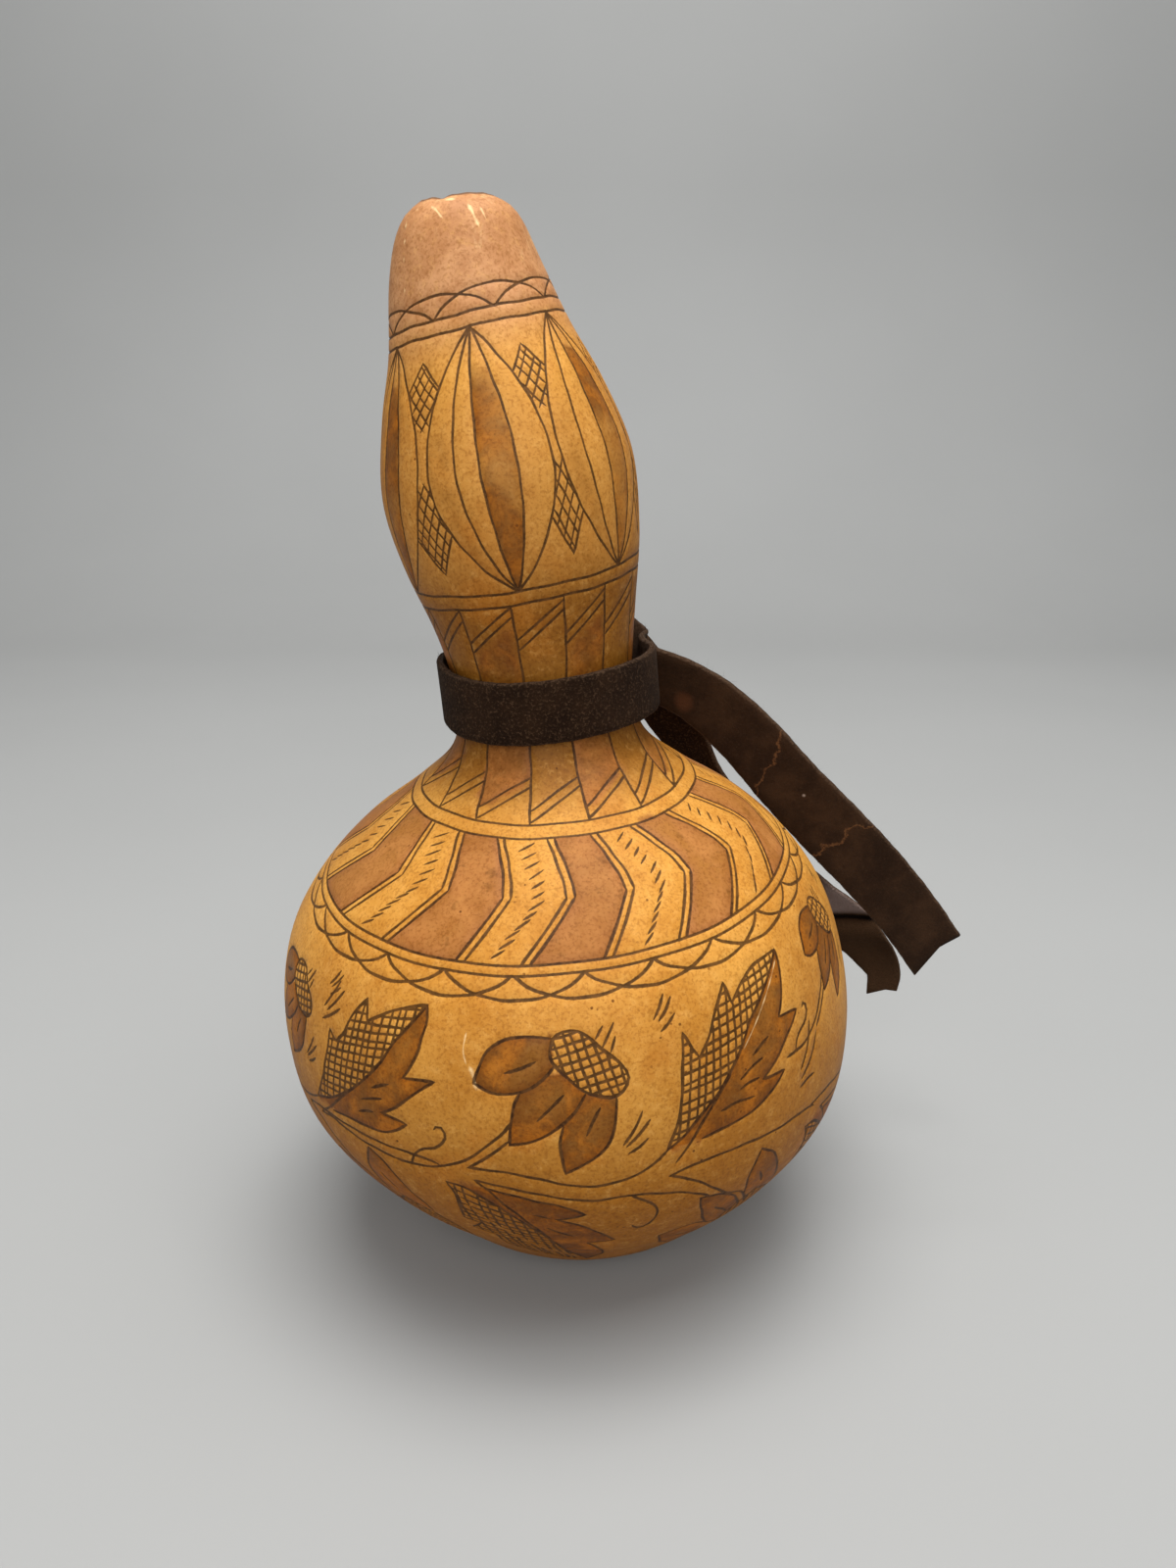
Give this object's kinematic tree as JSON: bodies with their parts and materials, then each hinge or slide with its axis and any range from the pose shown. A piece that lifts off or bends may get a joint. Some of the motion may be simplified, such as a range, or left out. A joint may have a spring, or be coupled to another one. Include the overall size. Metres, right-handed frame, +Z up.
{
  "type": "gourd vessel",
  "caption": "Dried bottle gourd with a round body, a slim waist, a leaning upper bulb and a small mouth at its tip, with a suede strap tied round the neck.",
  "frame": {"origin": "middle of the flat spot that the gourd stands on", "axes": "+Z up from the base towards the mouth; +X towards the side where the strap's tails hang, away from the upper bulb's lean; the front faces -Y"},
  "size_m": [0.133, 0.1076, 0.1899],
  "materials": {
    "gourd_shell": "satin, golden tan to orange-brown",
    "suede": "matt, dark brown nap"
  },
  "bodies": {
    "root": {"gourd": "gourd_shell", "leather_strap": "suede"}
  },
  "joints": []
}
